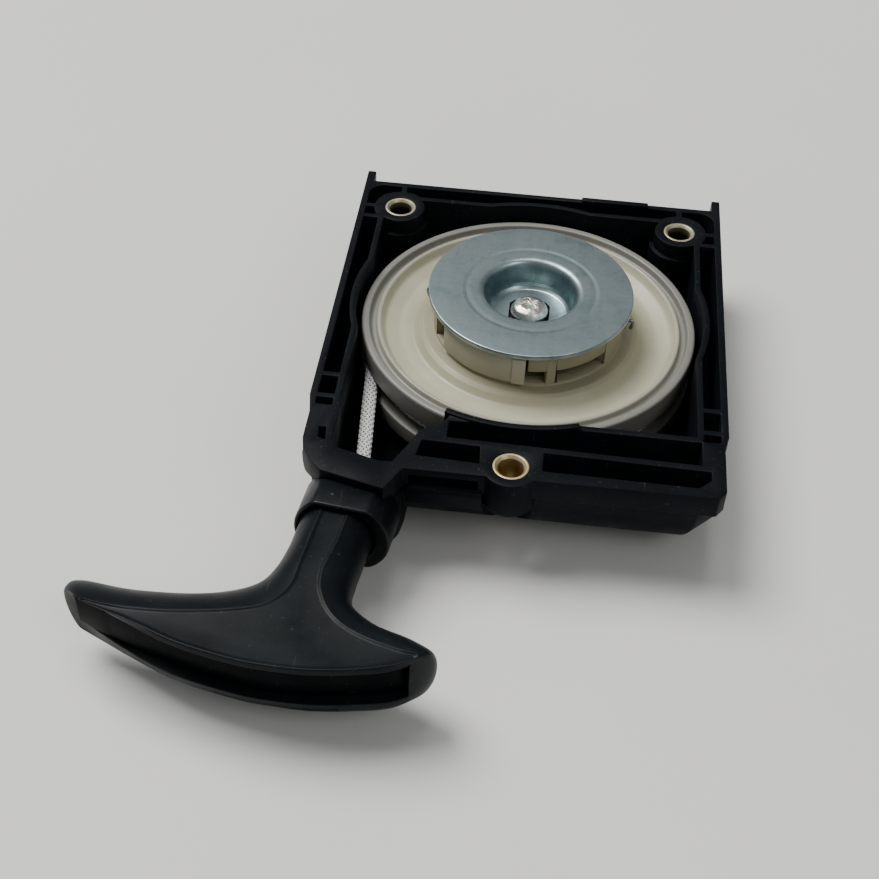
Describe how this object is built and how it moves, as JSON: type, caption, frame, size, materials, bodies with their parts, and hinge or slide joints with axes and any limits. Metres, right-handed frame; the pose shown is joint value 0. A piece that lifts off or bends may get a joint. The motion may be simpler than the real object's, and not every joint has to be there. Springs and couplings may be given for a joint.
{
  "type": "recoil starter",
  "caption": "Pull-cord recoil starter: square tray case, spring-driven rope reel with swinging pawls under a dished friction plate, and an offset T-handle on its rope.",
  "frame": {"origin": "where the reel's axis meets the flat outer face of the case, the face that it lies on", "axes": "+Z along the reel's axis out of the open side that bolts to the engine, -Y towards the rope outlet and the handle, +X to the right seen from above with the outlet in front"},
  "size_m": [0.127, 0.1534, 0.0289],
  "materials": {
    "black_plastic": "moulded near-black nylon, fine matte texture",
    "black_plastic_satin": "moulded near-black nylon, satin",
    "handle_plastic": "moulded near-black nylon, satin with a soft sheen",
    "handle_cap_plastic": "moulded near-black nylon, fine grain",
    "ivory_plastic": "natural ivory acetal, slightly translucent, semi-gloss",
    "pawl_plastic": "natural nylon, semi-gloss",
    "zinc_plate": "bright blue-passivated zinc with a mottled bloom",
    "zinc_screw": "bright zinc",
    "spring_steel": "oiled spring steel",
    "bush_steel": "turned steel",
    "brass": "turned brass, lightly tarnished",
    "rope": "white double-braided polyester with dark marker threads"
  },
  "bodies": {
    "case": {"starter_case": "black_plastic", "rope_guide": "black_plastic_satin", "mount_collar_back_left": "brass", "mount_collar_back_right": "brass", "mount_collar_front": "brass", "friction_plate": "zinc_plate", "thrust_washer": "spring_steel", "friction_spring": "spring_steel", "centre_screw": "zinc_screw", "spring_cassette": "spring_steel", "recoil_spring": "spring_steel", "rope_run": "rope"},
    "reel": {"reel": "ivory_plastic", "reel_hub": "ivory_plastic", "reel_bush": "bush_steel", "rope_winding": "rope", "reel_rope_knot": "rope", "pawl_spring_1": "spring_steel", "pawl_spring_2": "spring_steel"},
    "pawl_1": {"pawl_1": "pawl_plastic"},
    "pawl_2": {"pawl_2": "pawl_plastic"},
    "handle": {"handle_body": "handle_plastic", "handle_cap": "handle_cap_plastic", "handle_washer": "zinc_screw", "handle_rope_knot": "rope", "handle_rope": "rope"}
  },
  "joints": [
    {"name": "reel_spin", "type": "hinge", "parent": "case", "child": "reel", "pos_m": [0, 0, 0.0124], "axis": [0, 0, 1], "range_deg": [0, 1150], "stiffness_Nm_per_rad": 0.008, "springref_deg": -343.77, "deforming": ["recoil_spring"]},
    {"name": "handle_pull", "type": "slide", "parent": "case", "child": "handle", "axis": [-0.1219, -0.9925, 0], "range_m": [0, 0.7]},
    {"name": "pawl_1_swing", "type": "hinge", "parent": "reel", "child": "pawl_1", "pos_m": [-0.01493, -0.00933, 0.024], "axis": [0, 0, -1], "range_deg": [0, 18], "stiffness_Nm_per_rad": 0.0005, "springref_deg": -17.19},
    {"name": "pawl_2_swing", "type": "hinge", "parent": "reel", "child": "pawl_2", "pos_m": [0.01493, 0.00933, 0.024], "axis": [0, 0, -1], "range_deg": [0, 18]}
  ],
  "couplings": [
    {"joint": "handle_pull", "follows": "reel_spin", "m_per_rad": 0.0348},
    {"joint": "pawl_2_swing", "follows": "pawl_1_swing", "ratio": 1}
  ]
}
